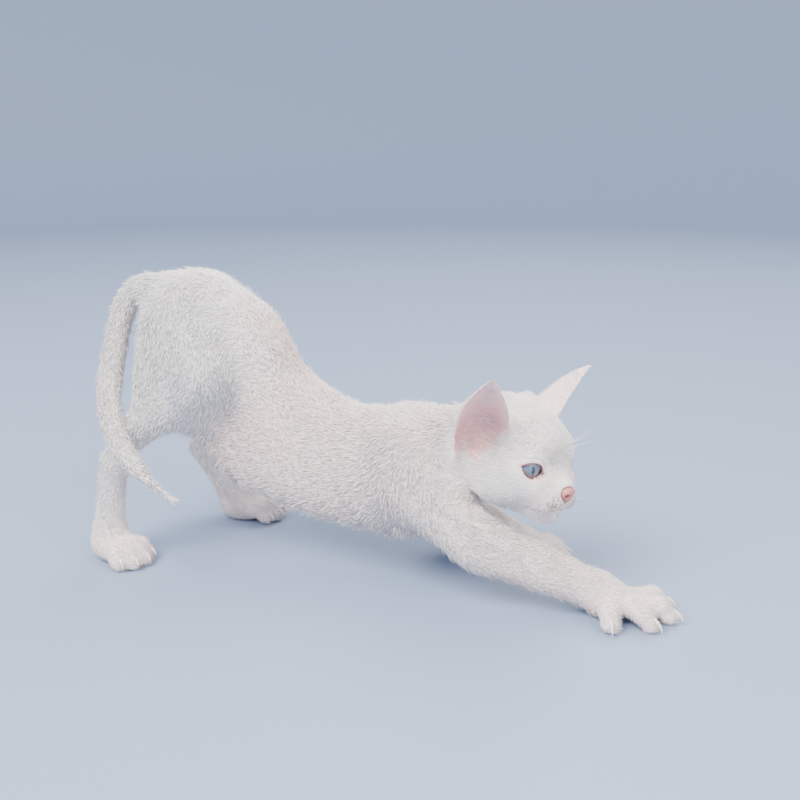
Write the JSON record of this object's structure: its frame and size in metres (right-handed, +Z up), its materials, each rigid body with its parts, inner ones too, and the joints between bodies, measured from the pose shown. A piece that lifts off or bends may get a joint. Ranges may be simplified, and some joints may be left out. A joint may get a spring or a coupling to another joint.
{
  "type": "devon rex cat",
  "caption": "White blue-eyed kitten with large ears and a short wavy coat, in a stretching bow with its chest low, one foreleg far forward and its rump and tail high.",
  "frame": {"origin": "middle of the bounding box in plan, on the floor that the four paws stand on", "axes": "+X is the way the body points, from tail to chest, +Y is the kitten's left, +Z is up"},
  "size_m": [0.3652, 0.1341, 0.1821],
  "materials": {
    "coat": "short soft wavy fur, white, with pink skin showing through where it is thin",
    "ear_skin": "bare pink skin inside, thin down outside",
    "nose_leather": "moist fine-grained pink leather",
    "eye": "clear glossy cornea over a pale blue iris",
    "claw_horn": "smooth translucent horn"
  },
  "bodies": {
    "root": {"belly": "coat", "chest": "coat", "ear_left": "ear_skin", "ear_right": "ear_skin", "eye_left": "eye", "eye_right": "eye", "forearm_left": "coat", "forearm_right": "coat", "forepaw_left": "coat", "forepaw_left_claw_1": "claw_horn", "forepaw_left_claw_2": "claw_horn", "forepaw_left_claw_3": "claw_horn", "forepaw_left_claw_4": "claw_horn", "forepaw_right": "coat", "forepaw_right_claw_1": "claw_horn", "forepaw_right_claw_2": "claw_horn", "forepaw_right_claw_3": "claw_horn", "forepaw_right_claw_4": "claw_horn", "head": "coat", "hindpaw_left": "coat", "hindpaw_left_claw_1": "claw_horn", "hindpaw_left_claw_2": "claw_horn", "hindpaw_left_claw_3": "claw_horn", "hindpaw_left_claw_4": "claw_horn", "hindpaw_right": "coat", "hindpaw_right_claw_1": "claw_horn", "hindpaw_right_claw_2": "claw_horn", "hindpaw_right_claw_3": "claw_horn", "hindpaw_right_claw_4": "claw_horn", "hock_left": "coat", "hock_right": "coat", "lower_jaw": "coat", "muzzle": "coat", "neck": "coat", "nose": "nose_leather", "pelvis": "coat", "shank_left": "coat", "shank_right": "coat", "tail_base": "coat", "tail_middle": "coat", "tail_tip": "coat", "thigh_left": "coat", "thigh_right": "coat", "upper_arm_left": "coat", "upper_arm_right": "coat"}
  },
  "joints": []
}
